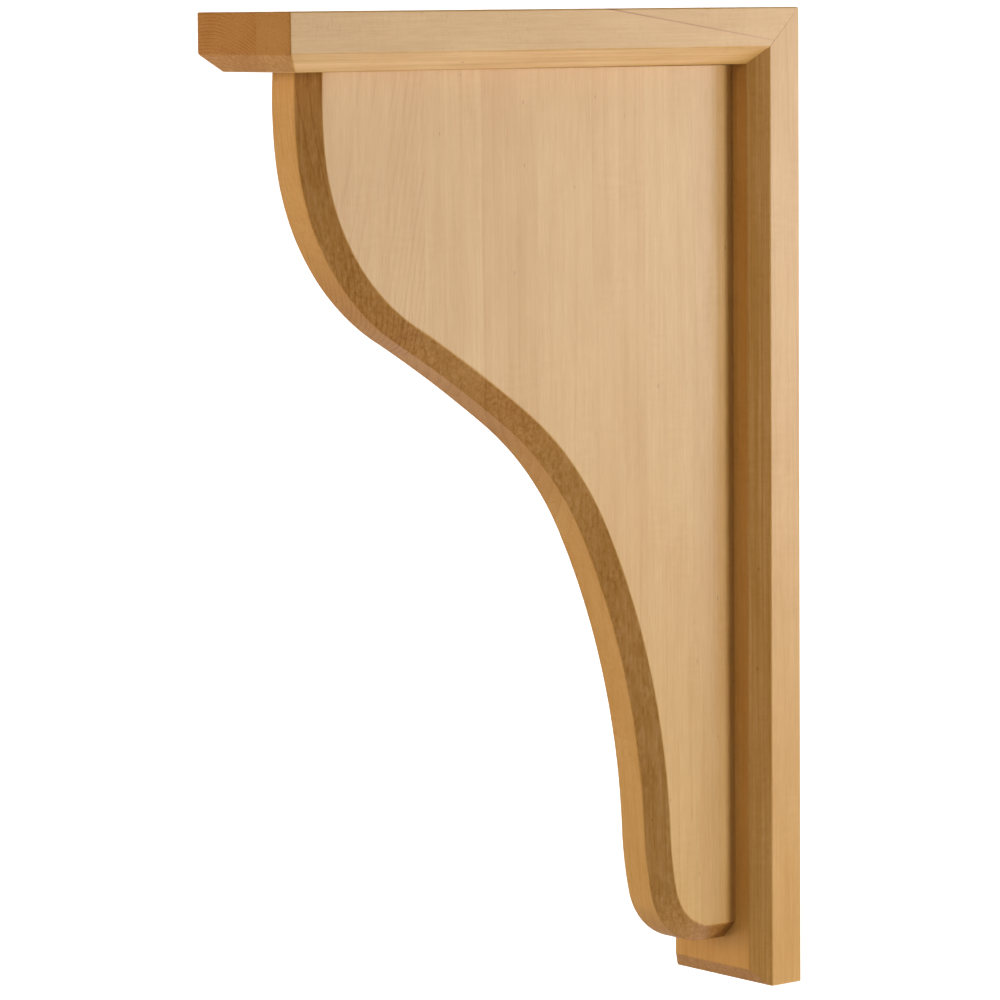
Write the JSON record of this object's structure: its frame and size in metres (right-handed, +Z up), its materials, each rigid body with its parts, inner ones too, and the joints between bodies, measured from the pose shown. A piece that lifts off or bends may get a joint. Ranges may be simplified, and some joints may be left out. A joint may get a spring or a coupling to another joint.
{
  "type": "corbel bracket",
  "caption": "Wooden corbel bracket that carries a counter from a wall: mitred top and back plates with chamfered edges, and a centred S-curved web between them.",
  "frame": {"origin": "middle of the back plate's wall face", "axes": "+X across the bracket's width, +Y out of the wall face into the wall, -Y towards the front of the top plate, +Z up"},
  "size_m": [0.068, 0.292, 0.457],
  "materials": {
    "board_maple": "clear satin lacquer over sanded maple",
    "web_maple": "clear satin lacquer over sanded edge-glued maple"
  },
  "bodies": {
    "root": {"top_plate": "board_maple", "back_plate": "board_maple", "web_panel": "web_maple"}
  },
  "joints": []
}
